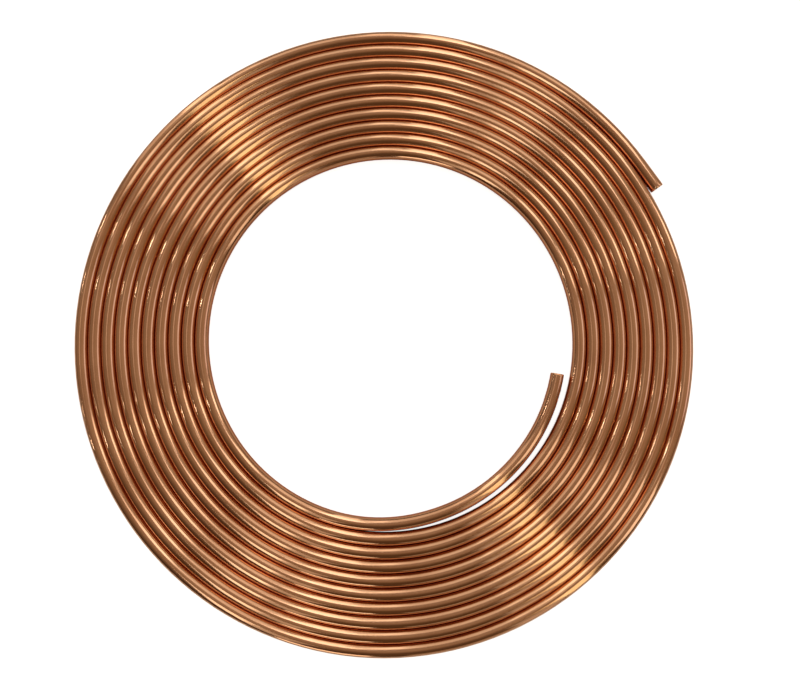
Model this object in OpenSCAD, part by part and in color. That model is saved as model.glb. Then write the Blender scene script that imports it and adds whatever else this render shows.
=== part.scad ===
// Copper tube coil: one length of soft tube, wound flat as a single-layer coil.
//
// The coil is one turned solid. Each half turn of the tube is turned about one of two
// centres, which stand half a pitch apart, so the half turns meet end to end and the
// radius falls by one pitch in a full turn. The eye in the middle is the coil's bore,
// and the turns show as rounds on its top and on its underside.
//
// Frame: +Z up, millimetres. The coil lies flat, with its lowest line at z = 0 and the
// middle of its outline on the Z axis. Bearings are counted anticlockwise from above.

/* [Tube] */

// Outside diameter of the tube
tube_d = 12.7; // [6:0.1:16]
// Thickness of the tube's wall
wall = 0.81; // [0.6:0.01:1.5]

/* [Coil] */

// Half turns, counted inward from the outer end
half_turns = 20; // [4:2:30]
// Centre-line radius of the outermost half turn
outer_r = 297; // [280:1:400]
// Clear gap between one turn and the next
gap = 0.15; // [0.1:0.05:2]
// Bearing from which the coil is wound
wind_angle = 35; // [0:1:90]

/* [Free ends] */

// How far the outer end stands off from the turn inside it
stand_off = 0.7; // [0.1:0.1:5]
// Length of the straight stretch at the outer end
lead = 30; // [5:1:60]
// How much tighter than its turn the innermost half turn is bent, so that it springs in
spring_in = 3.4; // [0.2:0.2:20]
// Angle that the innermost half turn is wound through
inner_sweep = 135; // [20:1:170]

/* [Hidden] */

pitch = tube_d + gap;
half_pitch = pitch / 2;
// How far each of the two centres stands from the middle between them
centre_off = half_pitch / 2;
last = half_turns - 1;

// Centre-line radius of half turn k, where 0 is the outermost
function turn_r(k) = outer_r - k * half_pitch;

// Even half turns are turned about one centre, and odd ones about the other
function centre_x(k) = k % 2 == 0 ? centre_off : -centre_off;

// The tube's ring-shaped section, set out at radius r
module tube_section(r) {
    translate([r, 0])
        difference() {
            circle(d = tube_d, $fn = 96);
            circle(d = tube_d - 2 * wall, $fn = 96);
        }
}

// A bend of the tube at radius r about [x, y], from one bearing through an angle
module bend(r, x, y, from, sweep) {
    translate([x, y, 0])
        rotate_extrude(start = from, angle = sweep, $fn = 360)
            tube_section(r);
}

// The outer end: a straight stretch, then a quarter turn that closes in on the coil
module outer_end() {
    translate([centre_x(0), -stand_off, 0])
        rotate([90, 0, 0])
            linear_extrude(height = lead)
                tube_section(outer_r + stand_off);
    bend(outer_r + stand_off, centre_x(0), -stand_off, 0, 90);
    bend(outer_r, centre_x(0), 0, 90, 90);
}

// The half turns between the two ends
module turns() {
    for (k = [1 : last - 1])
        bend(turn_r(k), centre_x(k), 0, k % 2 == 0 ? 0 : 180, 180);
}

// The innermost half turn, which springs in from the turn around it
module inner_end() {
    bend(turn_r(last) - spring_in, centre_x(last) - spring_in, 0, 180, inner_sweep);
}

// The whole tube, from its outer end to its inner end
module copper_tube() {
    // the shift brings the middle of the coil's outline onto the Z axis
    color("#b87333")
        translate([centre_off, -centre_off, tube_d / 2])
            rotate([0, 0, wind_angle]) {
                outer_end();
                turns();
                inner_end();
            }
}

copper_tube();
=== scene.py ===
"""A coil of soft copper tube, lying flat.

One piece, drawn_tube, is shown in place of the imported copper_tube. Geometry Nodes wind it
by its own rule: half turns about two centres, half a pitch apart. Metres, +Z up.
"""

from itertools import combinations
from math import cos, floor, pi, radians, sin, tan

import bmesh
import bpy
from bpy.props import (
    FloatProperty,
    FloatVectorProperty,
    IntProperty,
    PointerProperty,
)
from mathutils import Euler, Matrix, Vector


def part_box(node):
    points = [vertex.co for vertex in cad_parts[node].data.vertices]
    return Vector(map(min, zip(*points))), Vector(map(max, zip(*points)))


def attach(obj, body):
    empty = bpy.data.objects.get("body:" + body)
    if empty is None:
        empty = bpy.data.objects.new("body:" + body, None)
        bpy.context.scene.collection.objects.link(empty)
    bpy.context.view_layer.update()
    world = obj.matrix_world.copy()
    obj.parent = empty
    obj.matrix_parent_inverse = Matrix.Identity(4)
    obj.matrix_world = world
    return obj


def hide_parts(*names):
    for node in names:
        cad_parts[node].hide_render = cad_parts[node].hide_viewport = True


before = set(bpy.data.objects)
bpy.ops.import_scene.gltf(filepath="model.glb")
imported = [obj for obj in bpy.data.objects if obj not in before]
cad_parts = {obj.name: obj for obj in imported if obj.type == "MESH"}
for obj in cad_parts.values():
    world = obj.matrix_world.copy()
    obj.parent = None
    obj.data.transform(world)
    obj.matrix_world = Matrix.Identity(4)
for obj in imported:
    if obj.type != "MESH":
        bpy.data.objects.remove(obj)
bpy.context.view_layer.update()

bl_info = {
    "name": "Copper tube coil",
    "version": (1, 0, 0),
    "blender": (4, 5, 0),
    "location": "View3D > Sidebar > Copper coil",
    "description": "Winds a flat coil of soft copper tube and sets a small studio around it",
    "category": "Add Mesh",
}

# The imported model's own box, before anything is added
# Outside diameter of the tube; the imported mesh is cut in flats, so its box is a hair less
TUBE_D = 0.0127
if abs(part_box("copper_tube")[1].z - TUBE_D) > TUBE_D / 100:
    raise RuntimeError("the packed tube is not of the diameter that is drawn here")

# Stations for each half turn, and closer ones over the last stretch at each end
HALF_TURN_STATIONS = 72
TIP_STATIONS = 5
# How fast the stations close up towards a cut end
TIP_CROWDING = 3.0
# Stations over which the cutting wheel has rolled the tube in
ROLLED_STATIONS = 2.0
# The innermost half turn lets go of its turn between these angles along it, in degrees
HELD_FROM, HELD_TO = 35, 75
# Sides round the outer wall, and round the bore
OUTER_SIDES = 44
BORE_SIDES = 22
# Edges sharper than this stay crisp, which is those of the cut faces
CRISP_ANGLE = radians(50)
UV_NAME = "along_and_round"
BORE_MARK = "in_bore"
MATH, RANGE = "ShaderNodeMath", "ShaderNodeMapRange"


def linear(hex_colour):
    """An sRGB hex colour as linear red, green, blue and alpha."""
    values = [int(hex_colour[i : i + 2], 16) / 255 for i in (1, 3, 5)]
    return [v / 12.92 if v <= 0.04045 else ((v + 0.055) / 1.055) ** 2.4 for v in values] + [1.0]


def node(tree, kind, settings=None, **inputs):
    """Adds a node, sets its settings, and sets or links its inputs.

    An input is named by its label with _ for a space, or in0, in1 ... by its place.
    """
    made = tree.nodes.new(kind)
    for name, value in (settings or {}).items():
        setattr(made, name, value)
    for name, value in inputs.items():
        if name[:2] == "in" and name[2:].isdigit():
            socket = made.inputs[int(name[2:])]
        else:
            label = name.replace("_", " ")
            socket = next(s for s in made.inputs if s.name == label and s.enabled)
        if isinstance(value, bpy.types.NodeSocket):
            tree.links.new(value, socket)
        else:
            socket.default_value = value
    return made


class CoilSizes(bpy.types.PropertyGroup):
    """Sizes of the tube and of the way it is wound"""

    tube_d: FloatProperty(
        name="Tube diameter", description="Outside diameter of the tube",
        default=TUBE_D, unit="LENGTH", precision=5,
    )
    wall: FloatProperty(
        name="Wall", description="Thickness of the tube's wall",
        default=0.00081, unit="LENGTH", precision=5,
    )
    gap: FloatProperty(
        name="Gap", description="Clear gap between one turn and the next in the packed frame",
        default=0.00015, unit="LENGTH", precision=5,
    )
    snug: FloatProperty(
        name="Snug", description="How much fatter the shown tube is, so that its turns touch",
        default=0.00014, unit="LENGTH", precision=5,
    )
    half_turns: IntProperty(
        name="Half turns", description="Half turns, counted inward from the outer end",
        default=20, min=4,
    )
    outer_r: FloatProperty(
        name="Outer radius", description="Centre-line radius of the outermost half turn",
        default=0.297, unit="LENGTH", precision=4,
    )
    wind_angle: FloatProperty(
        name="Winding bearing", description="Bearing from which the coil is wound",
        default=radians(35), subtype="ANGLE",
    )
    stand_off: FloatProperty(
        name="Stand-off", description="How far the outer end stands off from the turn inside it",
        default=0.0007, unit="LENGTH", precision=5,
    )
    lead: FloatProperty(
        name="Lead", description="Length of the straight stretch at the outer end",
        default=0.030, unit="LENGTH", precision=4,
    )
    spring_in: FloatProperty(
        name="Spring-in", description="How much tighter the innermost half turn is bent",
        default=0.0034, unit="LENGTH", precision=5,
    )
    inner_sweep: FloatProperty(
        name="Inner sweep", description="Angle that the innermost half turn is wound through",
        default=radians(135), subtype="ANGLE",
    )
    cut_roll: FloatProperty(
        name="Cutter's roll", description="Share of the radius that the cutting wheel rolls in",
        default=0.05, min=0.0, max=0.2,
    )


class CopperColours(bpy.types.PropertyGroup):
    """Colours of the drawn copper"""

    clean: FloatVectorProperty(
        name="Clean copper", description="Colour of the bright drawn copper",
        default=linear("#F7C7A0")[:3], size=3, subtype="COLOR", min=0, max=1,
    )
    aged: FloatVectorProperty(
        name="Aged copper", description="Colour where air and hands have dulled it",
        default=linear("#DFAC86")[:3], size=3, subtype="COLOR", min=0, max=1,
    )
    # painted shade: a tint multiplied into the sides of each turn, where neighbouring turns meet, making
    # them darker and redder
    painted_side_shade: FloatVectorProperty(
        name="Painted side shade", description="Tint of the sides, where the turns rub",
        default=linear("#D8A88C")[:3], size=3, subtype="COLOR", min=0, max=1,
    )
    oxide: FloatVectorProperty(
        name="Bore oxide", description="Colour of the oxide inside the bore",
        default=linear("#7A4630")[:3], size=3, subtype="COLOR", min=0, max=1,
    )


class StudioLook(bpy.types.PropertyGroup):
    """The floor, the light and the camera"""

    floor: FloatVectorProperty(
        name="Floor", description="Colour of the floor",
        default=linear("#F4F3F1")[:3], size=3, subtype="COLOR", min=0, max=1,
    )
    floor_width: FloatProperty(
        name="Floor width", description="Width of the square floor",
        default=12.0, unit="LENGTH",
    )
    camera_distance: FloatProperty(
        name="Camera distance", description="From the camera to the point it is aimed at",
        default=0.6, unit="LENGTH",
    )
    camera_tilt: FloatProperty(
        name="Camera tilt", description="How far the camera leans from straight down",
        default=radians(3.53), subtype="ANGLE",
    )
    camera_aim: FloatVectorProperty(
        name="Camera aim", description="Point on the floor that the camera is aimed at",
        default=(0.0155, -0.0083, 0.0), size=3, subtype="XYZ", unit="LENGTH", precision=4,
    )
    shown_width: FloatProperty(
        name="Shown width", description="Width of the strip of floor through that point in frame",
        default=0.7796, unit="LENGTH", precision=4,
    )


# ---------------------------------------------------------------- the tube


def tube_tree(outside, bore):
    """The node tree that winds the tube.

    Each station on the line of the tube knows its place from its number alone: first the
    straight lead, then the half turns, then the closer stations at the inner end.
    """
    tree = bpy.data.node_groups.new("wound_tube", "GeometryNodeTree")
    for name, kind in (
        ("Tube diameter", "NodeSocketFloat"), ("Wall", "NodeSocketFloat"),
        ("Pitch", "NodeSocketFloat"), ("Half turns", "NodeSocketInt"),
        ("Outer radius", "NodeSocketFloat"), ("Winding bearing", "NodeSocketFloat"),
        ("Stand-off", "NodeSocketFloat"), ("Lead", "NodeSocketFloat"),
        ("Spring-in", "NodeSocketFloat"), ("Wound half turns", "NodeSocketFloat"),
        ("Tip half turns", "NodeSocketFloat"), ("Main stations", "NodeSocketInt"),
        ("Axis height", "NodeSocketFloat"), ("Cutter's roll", "NodeSocketFloat"),
    ):
        tree.interface.new_socket(name, in_out="INPUT", socket_type=kind)
    tree.interface.new_socket("Geometry", in_out="OUTPUT", socket_type="NodeSocketGeometry")
    size = node(tree, "NodeGroupInput").outputs

    # The line of the tube, as numbered stations
    main_and_lead = node(
        tree, MATH, {"operation": "ADD"}, in0=size["Main stations"], in1=float(TIP_STATIONS)
    ).outputs[0]
    last_station = node(
        tree, MATH, {"operation": "ADD"}, in0=main_and_lead, in1=float(TIP_STATIONS)
    ).outputs[0]
    count = node(tree, MATH, {"operation": "ADD"}, in0=last_station, in1=1.0).outputs[0]
    line = node(tree, "GeometryNodeCurvePrimitiveLine").outputs[0]
    stations = node(
        tree, "GeometryNodeResampleCurve", {"mode": "COUNT"}, Curve=line, Count=count
    ).outputs[0]
    number = node(tree, "GeometryNodeInputIndex").outputs[0]

    # The straight lead: how far a station lies back from where the turns begin
    in_lead = node(
        tree, RANGE, Value=number, From_Min=0.0, From_Max=float(TIP_STATIONS)
    ).outputs[0]
    crowded_lead = node(tree, MATH, {"operation": "POWER"}, in0=in_lead, in1=TIP_CROWDING).outputs[0]
    back = node(tree, RANGE, Value=crowded_lead, To_Min=size["Lead"], To_Max=0.0).outputs[0]

    # How many half turns in a station lies
    wound = node(
        tree, RANGE, Value=number, From_Min=float(TIP_STATIONS), From_Max=main_and_lead,
        To_Min=0.0, To_Max=size["Wound half turns"],
    ).outputs[0]
    in_tip = node(
        tree, RANGE, Value=number, From_Min=main_and_lead, From_Max=last_station,
        To_Min=1.0, To_Max=0.0,
    ).outputs[0]
    crowded_tip = node(tree, MATH, {"operation": "POWER"}, in0=in_tip, in1=TIP_CROWDING).outputs[0]
    tip = node(tree, RANGE, Value=crowded_tip, To_Min=size["Tip half turns"], To_Max=0.0).outputs[0]
    turned = node(tree, MATH, {"operation": "ADD"}, in0=wound, in1=tip).outputs[0]

    # Its half turn, that half turn's radius, and which centre it is turned about
    last = node(tree, MATH, {"operation": "SUBTRACT"}, in0=size["Half turns"], in1=1.0).outputs[0]
    whole = node(tree, MATH, {"operation": "FLOOR"}, in0=turned).outputs[0]
    half_turn = node(tree, MATH, {"operation": "MINIMUM"}, in0=whole, in1=last).outputs[0]
    half_pitch = node(tree, MATH, {"operation": "DIVIDE"}, in0=size["Pitch"], in1=2.0).outputs[0]
    centre_off = node(tree, MATH, {"operation": "DIVIDE"}, in0=half_pitch, in1=2.0).outputs[0]
    minus_off = node(tree, MATH, {"operation": "MULTIPLY"}, in0=centre_off, in1=-1.0).outputs[0]
    drop = node(tree, MATH, {"operation": "MULTIPLY"}, in0=half_turn, in1=half_pitch).outputs[0]
    turn_r = node(tree, MATH, {"operation": "SUBTRACT"}, in0=size["Outer radius"], in1=drop).outputs[0]
    odd = node(tree, MATH, {"operation": "MODULO"}, in0=half_turn, in1=2.0).outputs[0]
    centre_x = node(tree, RANGE, Value=odd, To_Min=centre_off, To_Max=minus_off).outputs[0]

    # The first quarter turn stands off, and the last half turn springs in
    is_first = node(tree, MATH, {"operation": "LESS_THAN"}, in0=turned, in1=0.5).outputs[0]
    off = node(tree, MATH, {"operation": "MULTIPLY"}, in0=is_first, in1=size["Stand-off"]).outputs[0]
    is_last = node(
        tree, MATH, {"operation": "COMPARE"}, in0=half_turn, in1=last, in2=0.5
    ).outputs[0]
    # it holds to the turn around it at first, and lets go between two bearings
    hold_from = node(tree, MATH, {"operation": "ADD"}, in0=last, in1=HELD_FROM / 180).outputs[0]
    hold_to = node(tree, MATH, {"operation": "ADD"}, in0=last, in1=HELD_TO / 180).outputs[0]
    let_go = node(
        tree, RANGE, {"interpolation_type": "SMOOTHSTEP"}, Value=turned,
        From_Min=hold_from, From_Max=hold_to, To_Min=0.0, To_Max=size["Spring-in"],
    ).outputs[0]
    spring = node(tree, MATH, {"operation": "MULTIPLY"}, in0=is_last, in1=let_go).outputs[0]
    off_r = node(tree, MATH, {"operation": "ADD"}, in0=turn_r, in1=off).outputs[0]
    radius = node(tree, MATH, {"operation": "SUBTRACT"}, in0=off_r, in1=spring).outputs[0]
    middle_x = node(tree, MATH, {"operation": "SUBTRACT"}, in0=centre_x, in1=spring).outputs[0]
    off_back = node(tree, MATH, {"operation": "ADD"}, in0=off, in1=back).outputs[0]

    # Its place
    bearing = node(tree, MATH, {"operation": "MULTIPLY"}, in0=turned, in1=pi).outputs[0]
    cosine = node(tree, MATH, {"operation": "COSINE"}, in0=bearing).outputs[0]
    sine = node(tree, MATH, {"operation": "SINE"}, in0=bearing).outputs[0]
    x = node(
        tree, MATH, {"operation": "MULTIPLY_ADD"}, in0=radius, in1=cosine, in2=middle_x
    ).outputs[0]
    y_turned = node(tree, MATH, {"operation": "MULTIPLY"}, in0=radius, in1=sine).outputs[0]
    y = node(tree, MATH, {"operation": "SUBTRACT"}, in0=y_turned, in1=off_back).outputs[0]
    flat = node(tree, "ShaderNodeCombineXYZ", X=x, Y=y).outputs[0]
    turned_round = node(
        tree, "ShaderNodeVectorRotate", {"rotation_type": "Z_AXIS"},
        Vector=flat, Angle=size["Winding bearing"],
    ).outputs[0]
    shift = node(
        tree, "ShaderNodeCombineXYZ", X=centre_off, Y=minus_off, Z=size["Axis height"]
    ).outputs[0]
    place = node(
        tree, "ShaderNodeVectorMath", {"operation": "ADD"}, in0=turned_round, in1=shift
    ).outputs[0]
    placed = node(tree, "GeometryNodeSetPosition", Geometry=stations, Position=place).outputs[0]
    upright = node(
        tree, "GeometryNodeSetCurveNormal", {"mode": "Z_UP"}, Curve=placed
    ).outputs[0]

    # The cutting wheel rolls both ends in a little
    from_start = node(
        tree, RANGE, Value=number, From_Min=0.0, From_Max=ROLLED_STATIONS, To_Min=1.0, To_Max=0.0
    ).outputs[0]
    roll_begins = node(
        tree, MATH, {"operation": "SUBTRACT"}, in0=last_station, in1=ROLLED_STATIONS
    ).outputs[0]
    from_end = node(
        tree, RANGE, Value=number, From_Min=roll_begins, From_Max=last_station
    ).outputs[0]
    near_cut = node(tree, MATH, {"operation": "MAXIMUM"}, in0=from_start, in1=from_end).outputs[0]
    curled = node(tree, MATH, {"operation": "POWER"}, in0=near_cut, in1=2.0).outputs[0]
    rolled = node(tree, MATH, {"operation": "MULTIPLY"}, in0=curled, in1=size["Cutter's roll"]).outputs[0]
    scale = node(tree, MATH, {"operation": "SUBTRACT"}, in0=1.0, in1=rolled).outputs[0]

    # How far along the tube each station is, carried to the mesh for the finish
    along_line = node(tree, "GeometryNodeSplineParameter").outputs["Length"]
    carry = node(tree, "GeometryNodeCaptureAttribute", {"domain": "POINT"}, Geometry=upright)
    carry.capture_items.new("FLOAT", "along")
    tree.links.new(along_line, carry.inputs["along"])
    rolled_line = node(
        tree, "GeometryNodeSetCurveRadius", Curve=carry.outputs[0], Radius=scale
    ).outputs[0]
    line_scale = node(tree, "GeometryNodeInputRadius").outputs[0]

    # The outer wall and the bore, each with how far round it every point is
    outer_r = node(tree, MATH, {"operation": "DIVIDE"}, in0=size["Tube diameter"], in1=2.0).outputs[0]
    bore_r = node(tree, MATH, {"operation": "SUBTRACT"}, in0=outer_r, in1=size["Wall"]).outputs[0]
    walls = []
    for wall_r, sides in ((outer_r, OUTER_SIDES), (bore_r, BORE_SIDES)):
        ring = node(
            tree, "GeometryNodeCurvePrimitiveCircle", {"mode": "RADIUS"},
            Resolution=sides, Radius=wall_r,
        ).outputs[0]
        # the seam in the finish goes to the underside
        seamed = node(
            tree, "GeometryNodeTransform", Geometry=ring, Rotation=(0.0, 0.0, pi / 2)
        ).outputs[0]
        around = node(tree, "GeometryNodeCaptureAttribute", {"domain": "POINT"}, Geometry=seamed)
        around.capture_items.new("FLOAT", "round")
        tree.links.new(node(tree, "GeometryNodeInputIndex").outputs[0], around.inputs["round"])
        wall = node(
            tree, "GeometryNodeCurveToMesh", Curve=rolled_line,
            Profile_Curve=around.outputs[0], Scale=line_scale,
        ).outputs[0]
        # the point's number round the ring, as a share of the way round; the last face
        # closes on the first point, which there counts as a whole way round
        share = node(
            tree, MATH, {"operation": "DIVIDE"}, in0=around.outputs["round"], in1=float(sides)
        ).outputs[0]
        corner = node(
            tree, "GeometryNodeFieldOnDomain", {"domain": "CORNER", "data_type": "FLOAT"},
            Value=share,
        ).outputs[0]
        face = node(
            tree, "GeometryNodeFieldOnDomain", {"domain": "FACE", "data_type": "FLOAT"},
            Value=share,
        ).outputs[0]
        behind = node(tree, MATH, {"operation": "SUBTRACT"}, in0=face, in1=corner).outputs[0]
        closes = node(tree, MATH, {"operation": "GREATER_THAN"}, in0=behind, in1=0.25).outputs[0]
        way_round = node(tree, MATH, {"operation": "ADD"}, in0=corner, in1=closes).outputs[0]
        girth = node(tree, MATH, {"operation": "MULTIPLY"}, in0=wall_r, in1=2 * pi).outputs[0]
        v = node(tree, MATH, {"operation": "MULTIPLY"}, in0=way_round, in1=girth).outputs[0]
        uv = node(tree, "ShaderNodeCombineXYZ", X=carry.outputs["along"], Y=v).outputs[0]
        walls.append(
            node(
                tree, "GeometryNodeStoreNamedAttribute",
                {"data_type": "FLOAT2", "domain": "CORNER"},
                Geometry=wall, Name=UV_NAME, Value=uv,
            ).outputs[0]
        )
    inward = node(tree, "GeometryNodeFlipFaces", Mesh=walls[1]).outputs[0]
    marked = node(
        tree, "GeometryNodeStoreNamedAttribute", {"data_type": "BOOLEAN", "domain": "FACE"},
        Geometry=inward, Name=BORE_MARK, Value=True,
    ).outputs[0]
    both = node(tree, "GeometryNodeJoinGeometry")
    tree.links.new(walls[0], both.inputs[0])
    tree.links.new(marked, both.inputs[0])
    in_bore = node(
        tree, "GeometryNodeInputNamedAttribute", {"data_type": "BOOLEAN"}, Name=BORE_MARK
    ).outputs[0]
    real = node(tree, "GeometryNodeRealizeInstances", Geometry=both.outputs[0]).outputs[0]
    coated = node(tree, "GeometryNodeSetMaterial", Geometry=real, Material=outside).outputs[0]
    finished = node(
        tree, "GeometryNodeSetMaterial", Geometry=coated, Selection=in_bore, Material=bore
    ).outputs[0]
    node(tree, "NodeGroupOutput", Geometry=finished)
    return tree


def wind_tube(sizes, outside, bore):
    """The tube as a mesh, wound by the node tree, with open ends."""
    pitch = sizes.tube_d + sizes.gap
    last = sizes.half_turns - 1
    last_r = sizes.outer_r - last * pitch / 2 - sizes.spring_in
    tip = sizes.lead / (pi * last_r)
    wound = last + sizes.inner_sweep / pi - tip
    values = {
        "Tube diameter": sizes.tube_d + sizes.snug,
        "Wall": sizes.wall,
        "Pitch": pitch,
        "Half turns": sizes.half_turns,
        "Outer radius": sizes.outer_r,
        "Winding bearing": sizes.wind_angle,
        "Stand-off": sizes.stand_off,
        "Lead": sizes.lead,
        "Spring-in": sizes.spring_in,
        "Wound half turns": wound,
        "Tip half turns": tip,
        "Main stations": floor(wound * HALF_TURN_STATIONS),
        "Axis height": sizes.tube_d / 2,
        "Cutter's roll": sizes.cut_roll,
    }
    tree = tube_tree(outside, bore)
    blank = bpy.data.objects.new("winding", bpy.data.meshes.new("winding"))
    bpy.context.scene.collection.objects.link(blank)
    modifier = blank.modifiers.new("wound_tube", "NODES")
    modifier.node_group = tree
    for socket in tree.interface.items_tree:
        if socket.in_out == "INPUT":
            modifier[socket.identifier] = values[socket.name]
    evaluated = blank.evaluated_get(bpy.context.evaluated_depsgraph_get())
    mesh = bpy.data.meshes.new_from_object(evaluated)
    bpy.data.objects.remove(blank)
    mesh.attributes.remove(mesh.attributes[BORE_MARK])
    mesh.name = "copper_tube_mesh"
    return mesh


def open_rims(work):
    """The open rims of a mesh, each as its edges in order round it."""
    left = dict.fromkeys(edge for edge in work.edges if edge.is_boundary)
    rims = []
    while left:
        edge = next(iter(left))
        rim = []
        while edge is not None:
            del left[edge]
            rim.append(edge)
            beside = (e for vert in edge.verts for e in vert.link_edges)
            edge = next((e for e in beside if e in left), None)
        rims.append(rim)
    return rims


def rim_middle(rim):
    """The middle of a rim, from the points of its edges."""
    points = [vert.co for edge in rim for vert in edge.verts]
    return sum(points, Vector()) / len(points)


def close_cut_ends(mesh, cut):
    """Joins the outer wall to the bore at both cut ends, with a flat cut face."""
    mesh.materials.append(cut)
    work = bmesh.new()
    work.from_mesh(mesh)
    uv = work.loops.layers.uv[UV_NAME]
    rims = open_rims(work)
    middles = [rim_middle(rim) for rim in rims]
    # a rim of the outer wall and one of the bore share a middle
    cuts = [
        rims[a] + rims[b]
        for a, b in combinations(range(len(rims)), 2)
        if (middles[a] - middles[b]).length < TUBE_D / 4
    ]
    if len(rims) != 4 or len(cuts) != 2:
        raise RuntimeError(f"the tube has {len(rims)} rims and {len(cuts)} cut ends")
    for both_rims in cuts:
        made = bmesh.ops.bridge_loops(work, edges=both_rims)["faces"]
        for face in made:
            face.smooth = False
            face.material_index = len(mesh.materials) - 1
            for corner in face.loops:
                wall = next(
                    other for other in corner.vert.link_loops if other.face not in made
                )
                corner[uv].uv = wall[uv].uv
    bmesh.ops.recalc_face_normals(work, faces=work.faces)
    work.to_mesh(mesh)
    work.free()


def blank_material(name):
    """A new material and its empty node tree."""
    material = bpy.data.materials.new(name)
    material.use_nodes = True
    material.node_tree.nodes.clear()
    return material, material.node_tree


def drawn_copper(colours, sizes):
    """Soft copper tube, drawn through a die and annealed.

    It gives the eye clear, slightly streaked reflections of a warm metal, duller in
    patches, and painted shade: a darker, redder band down each side where the turns meet.
    """
    material, tree = blank_material("drawn_copper")
    place = node(tree, "ShaderNodeUVMap", {"uv_map": UV_NAME}).outputs[0]
    # Die lines run along the tube. Real ones are 0.05 mm wide, too fine to show, so
    # these are drawn coarser.
    line_length, line_width = 0.090, 0.0008
    die_lines_at = node(
        tree, "ShaderNodeMapping", Vector=place, Scale=(1 / line_length, 1 / line_width, 1.0)
    ).outputs[0]
    die_lines = node(
        tree, "ShaderNodeTexNoise", Vector=die_lines_at, Scale=1.0, Detail=1.0, Roughness=0.5
    ).outputs[0]
    # Handling and storage dull the copper in soft patches
    patch_width = 0.060
    object_at = node(tree, "ShaderNodeTexCoord").outputs["Object"]
    patches = node(
        tree, "ShaderNodeTexNoise", Vector=object_at, Scale=1 / patch_width, Detail=3.0, Roughness=0.6
    ).outputs[0]
    # Grain of the annealed surface, some 0.05 mm across, drawn coarser so that it shows
    grain_width = 0.001
    grain = node(
        tree, "ShaderNodeTexNoise", Vector=object_at, Scale=1 / grain_width, Detail=1.0
    ).outputs[0]
    patch_share = node(
        tree, RANGE, Value=patches, From_Min=0.35, From_Max=0.7, To_Min=0.0, To_Max=0.7
    ).outputs[0]
    line_share = node(
        tree, RANGE, Value=die_lines, From_Min=0.3, From_Max=0.75, To_Min=0.0, To_Max=0.35
    ).outputs[0]
    grain_share = node(tree, RANGE, Value=grain, To_Min=-0.08, To_Max=0.08).outputs[0]
    streaked = node(tree, MATH, {"operation": "ADD"}, in0=patch_share, in1=line_share).outputs[0]
    dulled = node(
        tree, MATH, {"operation": "ADD", "use_clamp": True}, in0=streaked, in1=grain_share
    ).outputs[0]
    colour = node(
        tree, "ShaderNodeMix", {"data_type": "RGBA"}, in0=dulled,
        in6=list(colours.clean) + [1.0], in7=list(colours.aged) + [1.0],
    ).outputs[2]
    # How far round the tube from its underside: the sides, where neighbouring turns meet, get painted
    # shade, darker and redder
    v = node(tree, "ShaderNodeSeparateXYZ", Vector=place).outputs["Y"]
    turned = node(
        tree, MATH, {"operation": "DIVIDE"}, in0=v, in1=(sizes.tube_d + sizes.snug) / 2
    ).outputs[0]
    downward = node(tree, MATH, {"operation": "COSINE"}, in0=turned).outputs[0]
    # painted shade: how much of the darker, redder side tint each point round the tube gets
    painted_side_shade = node(
        tree, RANGE, {"interpolation_type": "SMOOTHSTEP"}, Value=downward,
        From_Min=-0.72, From_Max=-0.1, To_Min=0.0, To_Max=1.0,
    ).outputs[0]
    outside = node(
        tree, "ShaderNodeMix", {"data_type": "RGBA", "blend_type": "MULTIPLY"},
        in0=painted_side_shade, in6=colour, in7=list(colours.painted_side_shade) + [1.0],
    ).outputs[2]
    line_rough = node(
        tree, RANGE, Value=die_lines, From_Min=0.3, From_Max=0.7, To_Min=0.085, To_Max=0.115
    ).outputs[0]
    patch_rough = node(
        tree, RANGE, Value=patches, From_Min=0.35, From_Max=0.7, To_Min=0.0, To_Max=0.04
    ).outputs[0]
    rough = node(tree, MATH, {"operation": "ADD"}, in0=line_rough, in1=patch_rough).outputs[0]
    relief = node(
        tree, "ShaderNodeBump", Strength=0.02, Distance=0.00002, Height=die_lines
    ).outputs[0]
    tangent = node(
        tree, "ShaderNodeTangent", {"direction_type": "UV_MAP", "uv_map": UV_NAME}
    ).outputs[0]
    shader = node(
        tree, "ShaderNodeBsdfPrincipled", Base_Color=outside, Metallic=1.0, Roughness=rough,
        Anisotropic=0.4, Anisotropic_Rotation=0.25, Tangent=tangent, Normal=relief,
    ).outputs[0]
    node(tree, "ShaderNodeOutputMaterial", Surface=shader)
    return material


def bore_copper(colours):
    """The bore, left as it was annealed: copper under a thin brown oxide.

    It gives the eye a dark, dull tunnel with soft streaks along it.
    """
    material, tree = blank_material("bore_copper")
    place = node(tree, "ShaderNodeUVMap", {"uv_map": UV_NAME}).outputs[0]
    # Streaks left by the plug that sized the bore, drawn coarser than real ones
    streak_length, streak_width = 0.040, 0.0015
    streaks_at = node(
        tree, "ShaderNodeMapping", Vector=place, Scale=(1 / streak_length, 1 / streak_width, 1.0)
    ).outputs[0]
    streaks = node(
        tree, "ShaderNodeTexNoise", Vector=streaks_at, Scale=1.0, Detail=2.0
    ).outputs[0]
    share = node(
        tree, RANGE, Value=streaks, From_Min=0.3, From_Max=0.7, To_Min=0.25, To_Max=0.9
    ).outputs[0]
    colour = node(
        tree, "ShaderNodeMix", {"data_type": "RGBA"}, in0=share,
        in6=list(colours.aged) + [1.0], in7=list(colours.oxide) + [1.0],
    ).outputs[2]
    rough = node(tree, RANGE, Value=streaks, To_Min=0.32, To_Max=0.5).outputs[0]
    shader = node(
        tree, "ShaderNodeBsdfPrincipled", Base_Color=colour, Metallic=1.0, Roughness=rough
    ).outputs[0]
    node(tree, "ShaderNodeOutputMaterial", Surface=shader)
    return material


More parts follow.
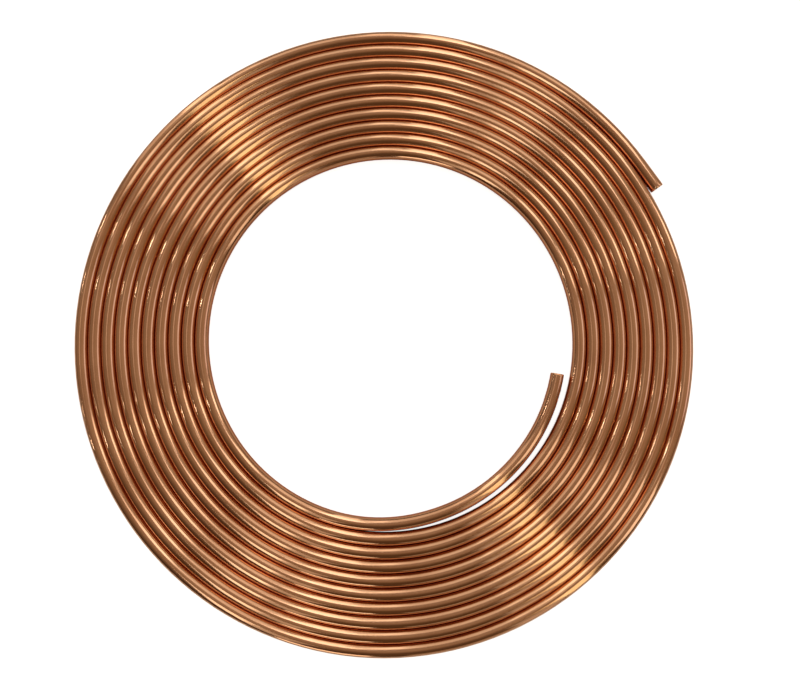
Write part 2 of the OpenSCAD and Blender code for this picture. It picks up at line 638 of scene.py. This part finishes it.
def cut_copper(colours):
    """The cut ends, parted by a wheel: bright bare copper with a fine torn grain."""
    material, tree = blank_material("cut_copper")
    at = node(tree, "ShaderNodeTexCoord").outputs["Object"]
    # Torn grain of the cut
    torn_width = 0.0003
    grain = node(tree, "ShaderNodeTexNoise", Vector=at, Scale=1 / torn_width, Detail=2.0).outputs[0]
    colour = node(
        tree, "ShaderNodeMix", {"data_type": "RGBA"}, in0=grain,
        in6=list(colours.clean) + [1.0], in7=list(colours.aged) + [1.0],
    ).outputs[2]
    rough = node(tree, RANGE, Value=grain, To_Min=0.25, To_Max=0.45).outputs[0]
    relief = node(tree, "ShaderNodeBump", Strength=0.3, Distance=0.00003, Height=grain).outputs[0]
    shader = node(
        tree, "ShaderNodeBsdfPrincipled", Base_Color=colour, Metallic=1.0, Roughness=rough,
        Normal=relief,
    ).outputs[0]
    node(tree, "ShaderNodeOutputMaterial", Surface=shader)
    return material


class COIL_OT_copper_tube(bpy.types.Operator):
    """Winds the copper tube and gives it its drawn finish"""

    bl_idname = "coil.copper_tube"
    bl_label = "Copper tube"

    def execute(self, context):
        sizes = context.scene.coil_sizes
        colours = context.scene.copper_colours
        mesh = wind_tube(sizes, drawn_copper(colours, sizes), bore_copper(colours))
        mesh.shade_smooth()
        close_cut_ends(mesh, cut_copper(colours))
        mesh.set_sharp_from_angle(angle=CRISP_ANGLE)
        tube = bpy.data.objects.new("drawn_tube", mesh)
        context.scene.collection.objects.link(tube)
        if mesh.validate():
            raise RuntimeError("the tube's mesh had faults")
        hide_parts("copper_tube")
        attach(tube, "root")
        return {"FINISHED"}


# ---------------------------------------------------------------- the studio

# How far the lights stand from the coil
LIGHT_DISTANCE = 4.0
# Strip lights, hung like spokes, each placed for the highlight that it makes on the tubes.
# Name; bearing and angle from overhead of the near end, then of the far end; width; all in
# degrees. Then brightness and colour.
STRIPS = (
    ("back_main", 82, 21, 80.5, 54, 7.5, 1.4, "#FFFBF5"),
    ("back_main_low", 81.5, 52, 81.5, 86, 8.0, 0.85, "#FFF8F0"),
    ("back_main_side", 91, 36, 91, 70, 7.0, 0.55, "#FFF8F0"),
    ("back_right", 64, 28, 64, 66, 17.0, 0.5, "#FFF8F0"),
    ("back_wide", 103, 30, 103, 70, 20.0, 0.4, "#FFF8F0"),
    ("back_left", 124.5, 35, 127.5, 82, 6.5, 1.25, "#FFF8E8"),
    ("back_left_side", 118, 40, 118, 76, 6.0, 0.6, "#FFF4E6"),
    ("back_left_crown", 120, 14, 125, 35, 3.5, 0.5, "#FFF8E8"),
    ("left_back", 136, 34, 136, 84, 13.0, 0.42, "#FFF2E6"),
    ("left_crown", 143, 20, 178, 22, 9.0, 0.38, "#FFF2E6"),
    ("right_back", 45.5, 19, 46.5, 54, 7.0, 1.1, "#FFF8F2"),
    ("right_far", 30, 38, 23, 63, 8.0, 1.35, "#FFF4EE"),
    ("right_low", 2, 50, 2, 74, 24.0, 0.55, "#F4ECFF"),
    ("front_left", 228, 18, 237, 50, 6.5, 1.35, "#FFFAF0"),
    ("front_left_wide", 245, 28, 245, 62, 10.0, 0.42, "#FFF0DE"),
    ("front_low", 257, 72, 257, 89, 18.0, 1.6, "#FFF0DE"),
    ("front_low_right", 289, 68, 289, 88, 30.0, 0.3, "#FFE8CC"),
    ("front_gold", 309, 16, 310, 82, 6.0, 1.25, "#FFF6CE"),
    ("front_wide", 301, 36, 301, 80, 10.0, 0.33, "#FFF4E6"),
    ("front_right", 329, 20, 328, 62, 9.0, 0.95, "#FFF8EE"),
    ("lamp_left", 155, 54, 155, 56.5, 2.0, 19.0, "#FFFBF5"),
    ("lamp_left_low", 166, 66, 166, 68, 1.6, 18.0, "#FFFBF5"),
    ("lamp_front_left", 196, 63, 196, 65, 1.5, 20.0, "#FFFBF5"),
    ("lamp_front_left_low", 190, 70, 190, 72, 1.3, 12.0, "#FFFBF5"),
)


def toward(bearing, angle):
    """The direction at a bearing and an angle from overhead, both in degrees."""
    around, down = radians(bearing), radians(angle)
    return Vector((sin(down) * cos(around), sin(down) * sin(around), cos(down)))


def strip_light(name, near_bearing, near, far_bearing, far, width, brightness, colour):
    """One strip light between two directions as seen from the coil, turned to face it."""
    start, end = toward(near_bearing, near), toward(far_bearing, far)
    out = (start + end).normalized()
    length = start.angle(end)
    down = (end - start).normalized()
    lamp = bpy.data.lights.new(name, "AREA")
    lamp.shape = "RECTANGLE"
    lamp.size = 2 * LIGHT_DISTANCE * tan(radians(width) / 2)
    lamp.size_y = 2 * LIGHT_DISTANCE * tan(length / 2)
    lamp.energy = brightness * pi * lamp.size * lamp.size_y
    lamp.color = linear(colour)[:3]
    light = bpy.data.objects.new(name, lamp)
    facing = Matrix((down.cross(out), down, out)).transposed()
    light.matrix_world = Matrix.Translation(out * LIGHT_DISTANCE) @ facing.to_4x4()
    light.visible_camera = False
    bpy.context.scene.collection.objects.link(light)


def soft_surround():
    """The dim room around the lights: darker to the front, paler to the right and back."""
    world = bpy.data.worlds.new("soft_surround")
    world.use_nodes = True
    tree = world.node_tree
    tree.nodes.clear()
    outward = node(tree, "ShaderNodeTexCoord").outputs["Generated"]
    parts = node(tree, "ShaderNodeSeparateXYZ", Vector=outward).outputs
    front = node(
        tree, RANGE, Value=parts["Y"], From_Min=-0.55, From_Max=0.05, To_Min=0.105, To_Max=0.36
    ).outputs[0]
    right = node(
        tree, RANGE, Value=parts["X"], From_Min=-0.7, From_Max=0.5, To_Min=0.74, To_Max=1.0
    ).outputs[0]
    # it is dimmer near the floor
    up = node(
        tree, RANGE, Value=parts["Z"], From_Min=0.0, From_Max=0.5, To_Min=0.4, To_Max=1.0
    ).outputs[0]
    across = node(tree, MATH, {"operation": "MULTIPLY"}, in0=front, in1=right).outputs[0]
    room = node(tree, MATH, {"operation": "MULTIPLY"}, in0=across, in1=up).outputs[0]
    # the room's own colour: warm in front, paler behind
    depth = node(tree, RANGE, Value=parts["Y"], From_Min=-0.7, From_Max=0.2).outputs[0]
    tint = node(
        tree, "ShaderNodeMix", {"data_type": "RGBA"},
        in0=depth, in6=linear("#FFC794"), in7=linear("#FFDFC3"),
    ).outputs[2]
    # the eye sees the pale studio wall, and the copper the dim room
    seen = node(tree, "ShaderNodeLightPath").outputs["Is Camera Ray"]
    level = node(tree, RANGE, Value=seen, To_Min=room, To_Max=0.9).outputs[0]
    colour = node(
        tree, "ShaderNodeMix", {"data_type": "RGBA"},
        in0=seen, in6=tint, in7=linear("#FFFFFF"),
    ).outputs[2]
    shine = node(tree, "ShaderNodeBackground", Color=colour, Strength=level).outputs[0]
    node(tree, "ShaderNodeOutputWorld", Surface=shine)
    bpy.context.scene.world = world


def pale_floor(look):
    """A plain floor of matt white board, evenly lit."""
    material, tree = blank_material("matt_white_board")
    at = node(tree, "ShaderNodeTexCoord").outputs["Object"]
    # Fibres of the board, drawn this wide so that they show
    fibre_width = 0.003
    fibre = node(
        tree, "ShaderNodeTexNoise", Vector=at, Scale=1 / fibre_width, Detail=2.0
    ).outputs[0]
    rough = node(tree, RANGE, Value=fibre, To_Min=0.8, To_Max=0.95).outputs[0]
    board = node(
        tree, "ShaderNodeBsdfPrincipled", Base_Color=list(look.floor) + [1.0], Roughness=rough,
        Specular_IOR_Level=0.2,
    ).outputs[0]
    # The camera sees the board shine by itself, so that it stays white; the copper doesn't
    seen = node(tree, "ShaderNodeLightPath").outputs["Is Camera Ray"]
    level = node(tree, RANGE, Value=seen, To_Min=0.0, To_Max=0.85).outputs[0]
    lit = node(tree, "ShaderNodeEmission", Color=linear("#FFFFFF"), Strength=level).outputs[0]
    both = node(tree, "ShaderNodeAddShader", in0=board, in1=lit).outputs[0]
    node(tree, "ShaderNodeOutputMaterial", Surface=both)
    half = look.floor_width / 2
    corners = [(-half, -half, 0), (half, -half, 0), (half, half, 0), (-half, half, 0)]
    mesh = bpy.data.meshes.new("floor_mesh")
    mesh.from_pydata(corners, [], [(0, 1, 2, 3)])
    mesh.materials.append(material)
    floor_board = bpy.data.objects.new("floor", mesh)
    bpy.context.scene.collection.objects.link(floor_board)


def overhead_camera(look):
    """The camera, almost straight above the coil."""
    lens = bpy.data.cameras.new("camera")
    lens.sensor_width = 36.0
    lens.lens = lens.sensor_width * look.camera_distance / look.shown_width
    lens.clip_end = 50.0
    camera = bpy.data.objects.new("camera", lens)
    tilt = look.camera_tilt
    camera.rotation_euler = Euler((tilt, 0.0, 0.0))
    back = Vector((0.0, -sin(tilt), cos(tilt)))
    camera.location = Vector(look.camera_aim) + look.camera_distance * back
    bpy.context.scene.collection.objects.link(camera)
    bpy.context.scene.camera = camera


class COIL_OT_studio(bpy.types.Operator):
    """Sets the floor, the surround, the strip lights and the camera"""

    bl_idname = "coil.studio"
    bl_label = "Studio"

    def execute(self, context):
        look = context.scene.studio_look
        overhead_camera(look)
        pale_floor(look)
        soft_surround()
        for strip in STRIPS:
            strip_light(*strip)
        context.scene.view_settings.view_transform = "Standard"
        return {"FINISHED"}


class COIL_PT_sidebar(bpy.types.Panel):
    """Lists what the coil is made with"""

    bl_idname = "COIL_PT_sidebar"
    bl_label = "Copper tube coil"
    bl_space_type = "VIEW_3D"
    bl_region_type = "UI"
    bl_category = "Copper coil"

    def draw(self, context):
        for group in ("coil_sizes", "copper_colours", "studio_look"):
            box = self.layout.box()
            settings = getattr(context.scene, group)
            for name in settings.bl_rna.properties.keys():
                if name not in {"rna_type", "name"}:
                    box.prop(settings, name)
        for operator in OPERATORS:
            self.layout.operator(operator.bl_idname)


OPERATORS = (COIL_OT_studio, COIL_OT_copper_tube)
CLASSES = (CoilSizes, CopperColours, StudioLook) + OPERATORS + (COIL_PT_sidebar,)


def register():
    for cls in CLASSES:
        bpy.utils.register_class(cls)
    bpy.types.Scene.coil_sizes = PointerProperty(type=CoilSizes)
    bpy.types.Scene.copper_colours = PointerProperty(type=CopperColours)
    bpy.types.Scene.studio_look = PointerProperty(type=StudioLook)


def unregister():
    del bpy.types.Scene.studio_look
    del bpy.types.Scene.copper_colours
    del bpy.types.Scene.coil_sizes
    for cls in reversed(CLASSES):
        bpy.utils.unregister_class(cls)


def main():
    register()
    bpy.ops.coil.studio()
    bpy.ops.coil.copper_tube()


if __name__ == "__main__":
    main()
